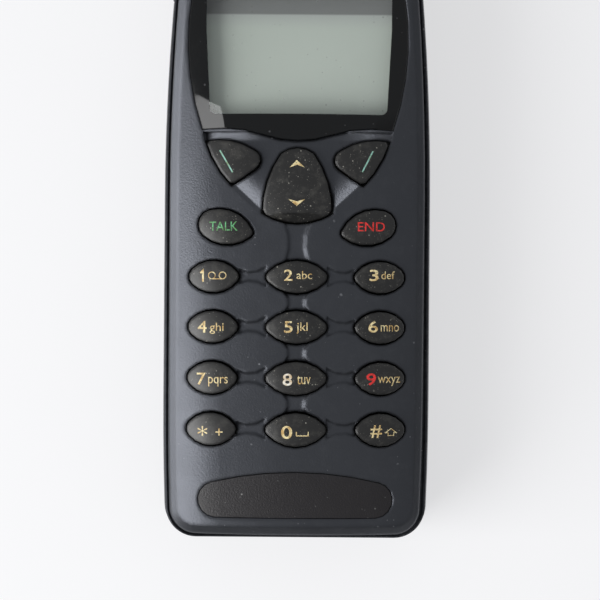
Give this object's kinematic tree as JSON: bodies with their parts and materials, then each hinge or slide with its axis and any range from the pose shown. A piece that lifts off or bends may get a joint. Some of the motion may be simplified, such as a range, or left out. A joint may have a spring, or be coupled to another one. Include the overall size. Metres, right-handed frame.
{
  "type": "candybar mobile phone",
  "caption": "Candybar mobile phone with a crowned black case, framed display, domed oval keys, a scroll key, a stub aerial and a sliding battery pack on its back.",
  "frame": {"origin": "on the resting plane, in the middle of the phone's length with its aerial and of its width", "axes": "+X to the right as seen from the front, +Y towards the top with the aerial, +Z out of the front with the display and keys"},
  "size_m": [0.0474, 0.15, 0.0288],
  "materials": {
    "black_plastic": "satin, finely textured",
    "display_window": "polished, dark printed border",
    "badge": "glossy, fine sparkle",
    "key_rubber": "matt, slightly soft",
    "mat_rubber": "matt",
    "spring_steel": "satin",
    "board": "solder mask",
    "shield": "tinned",
    "lcd": "polished",
    "white_plastic": "matt",
    "light_guide": "clear",
    "soft_rubber": "matt",
    "capsule": "satin",
    "dark_plastic": "matt",
    "contact": "gilt",
    "brass": "turned",
    "screw": "blackened",
    "infra_window": "dark red, clear",
    "card": "white",
    "cell": "sleeved",
    "circuit": "varnished"
  },
  "bodies": {
    "phone": {"front_cover": "black_plastic", "display_window": "display_window", "badge_plate": "badge", "keypad_mat": "mat_rubber", "dome_sheet": "spring_steel", "lcd_glass": "lcd", "lcd_frame": "white_plastic", "light_guide": "light_guide", "lcd_connector": "soft_rubber", "main_board": "board", "shield_cans": "shield", "earpiece": "capsule", "earpiece_gasket": "soft_rubber", "microphone": "capsule", "microphone_boot": "soft_rubber", "buzzer": "dark_plastic", "buzzer_contacts": "contact", "rear_cover": "black_plastic", "case_screws": "screw", "antenna": "dark_plastic", "antenna_bushing": "brass", "antenna_contact": "contact", "edge_switches": "dark_plastic", "ir_window": "infra_window", "bottom_connector": "dark_plastic", "connector_contacts": "contact", "sim_holder": "spring_steel", "sim_contacts": "contact", "battery_terminals": "contact"},
    "key_soft_left": {"key_soft_left": "key_rubber"},
    "key_soft_right": {"key_soft_right": "key_rubber"},
    "key_scroll": {"key_scroll": "key_rubber"},
    "key_talk": {"key_talk": "key_rubber"},
    "key_end": {"key_end": "key_rubber"},
    "key_1": {"key_1": "key_rubber"},
    "key_2": {"key_2": "key_rubber"},
    "key_3": {"key_3": "key_rubber"},
    "key_4": {"key_4": "key_rubber"},
    "key_5": {"key_5": "key_rubber"},
    "key_6": {"key_6": "key_rubber"},
    "key_7": {"key_7": "key_rubber"},
    "key_8": {"key_8": "key_rubber"},
    "key_9": {"key_9": "key_rubber"},
    "key_star": {"key_star": "key_rubber"},
    "key_0": {"key_0": "key_rubber"},
    "key_hash": {"key_hash": "key_rubber"},
    "volume_key": {"volume_key": "key_rubber"},
    "power_key": {"power_key": "key_rubber"},
    "sim_card": {"sim_card": "card"},
    "battery_latch": {"battery_latch": "key_rubber"},
    "battery": {"battery_case": "black_plastic", "battery_lid": "black_plastic", "battery_cells": "cell", "cell_straps": "spring_steel", "battery_circuit": "circuit", "battery_contacts": "contact"}
  },
  "joints": [
    {"name": "press_soft_left", "type": "slide", "parent": "phone", "child": "key_soft_left", "axis": [0, 0, -1], "range_m": [0, 0.0008], "stiffness_N_per_m": 800},
    {"name": "press_soft_right", "type": "slide", "parent": "phone", "child": "key_soft_right", "axis": [0, 0, -1], "range_m": [0, 0.0008], "stiffness_N_per_m": 800},
    {"name": "scroll_rock", "type": "hinge", "parent": "phone", "child": "key_scroll", "pos_m": [0, -0.0132, 0.0245], "axis": [1, 0, 0], "range_deg": [-3.5, 3.5], "stiffness_Nm_per_rad": 0.02},
    {"name": "press_talk", "type": "slide", "parent": "phone", "child": "key_talk", "axis": [0, 0, -1], "range_m": [0, 0.0008], "stiffness_N_per_m": 800},
    {"name": "press_end", "type": "slide", "parent": "phone", "child": "key_end", "axis": [0, 0, -1], "range_m": [0, 0.0008], "stiffness_N_per_m": 800},
    {"name": "press_1", "type": "slide", "parent": "phone", "child": "key_1", "axis": [0, 0, -1], "range_m": [0, 0.0008], "stiffness_N_per_m": 800},
    {"name": "press_2", "type": "slide", "parent": "phone", "child": "key_2", "axis": [0, 0, -1], "range_m": [0, 0.0008], "stiffness_N_per_m": 800},
    {"name": "press_3", "type": "slide", "parent": "phone", "child": "key_3", "axis": [0, 0, -1], "range_m": [0, 0.0008], "stiffness_N_per_m": 800},
    {"name": "press_4", "type": "slide", "parent": "phone", "child": "key_4", "axis": [0, 0, -1], "range_m": [0, 0.0008], "stiffness_N_per_m": 800},
    {"name": "press_5", "type": "slide", "parent": "phone", "child": "key_5", "axis": [0, 0, -1], "range_m": [0, 0.0008], "stiffness_N_per_m": 800},
    {"name": "press_6", "type": "slide", "parent": "phone", "child": "key_6", "axis": [0, 0, -1], "range_m": [0, 0.0008], "stiffness_N_per_m": 800},
    {"name": "press_7", "type": "slide", "parent": "phone", "child": "key_7", "axis": [0, 0, -1], "range_m": [0, 0.0008], "stiffness_N_per_m": 800},
    {"name": "press_8", "type": "slide", "parent": "phone", "child": "key_8", "axis": [0, 0, -1], "range_m": [0, 0.0008], "stiffness_N_per_m": 800},
    {"name": "press_9", "type": "slide", "parent": "phone", "child": "key_9", "axis": [0, 0, -1], "range_m": [0, 0.0008], "stiffness_N_per_m": 800},
    {"name": "press_star", "type": "slide", "parent": "phone", "child": "key_star", "axis": [0, 0, -1], "range_m": [0, 0.0008], "stiffness_N_per_m": 800},
    {"name": "press_0", "type": "slide", "parent": "phone", "child": "key_0", "axis": [0, 0, -1], "range_m": [0, 0.0008], "stiffness_N_per_m": 800},
    {"name": "press_hash", "type": "slide", "parent": "phone", "child": "key_hash", "axis": [0, 0, -1], "range_m": [0, 0.0008], "stiffness_N_per_m": 800},
    {"name": "volume_rock", "type": "hinge", "parent": "phone", "child": "volume_key", "pos_m": [-0.02055, 0.02839, 0.0126], "axis": [0, 0, 1], "range_deg": [-3, 3], "stiffness_Nm_per_rad": 0.02},
    {"name": "power_press", "type": "slide", "parent": "phone", "child": "power_key", "axis": [0, -1, 0], "range_m": [0, 0.0006], "stiffness_N_per_m": 800},
    {"name": "battery_slide", "type": "slide", "parent": "phone", "child": "battery", "axis": [0, -1, 0], "range_m": [0, 0.006]},
    {"name": "catch_turn", "type": "hinge", "parent": "battery", "child": "battery_latch", "pos_m": [0, 0.0085, 0.007], "axis": [-1, 0, 0], "range_deg": [0, 9]},
    {"name": "card_slide", "type": "slide", "parent": "phone", "child": "sim_card", "axis": [0, -1, 0], "range_m": [0, 0.0055]}
  ],
  "couplings": [
    {"joint": "catch_turn", "follows": "battery_slide", "rad_per_m": 26.18}
  ]
}
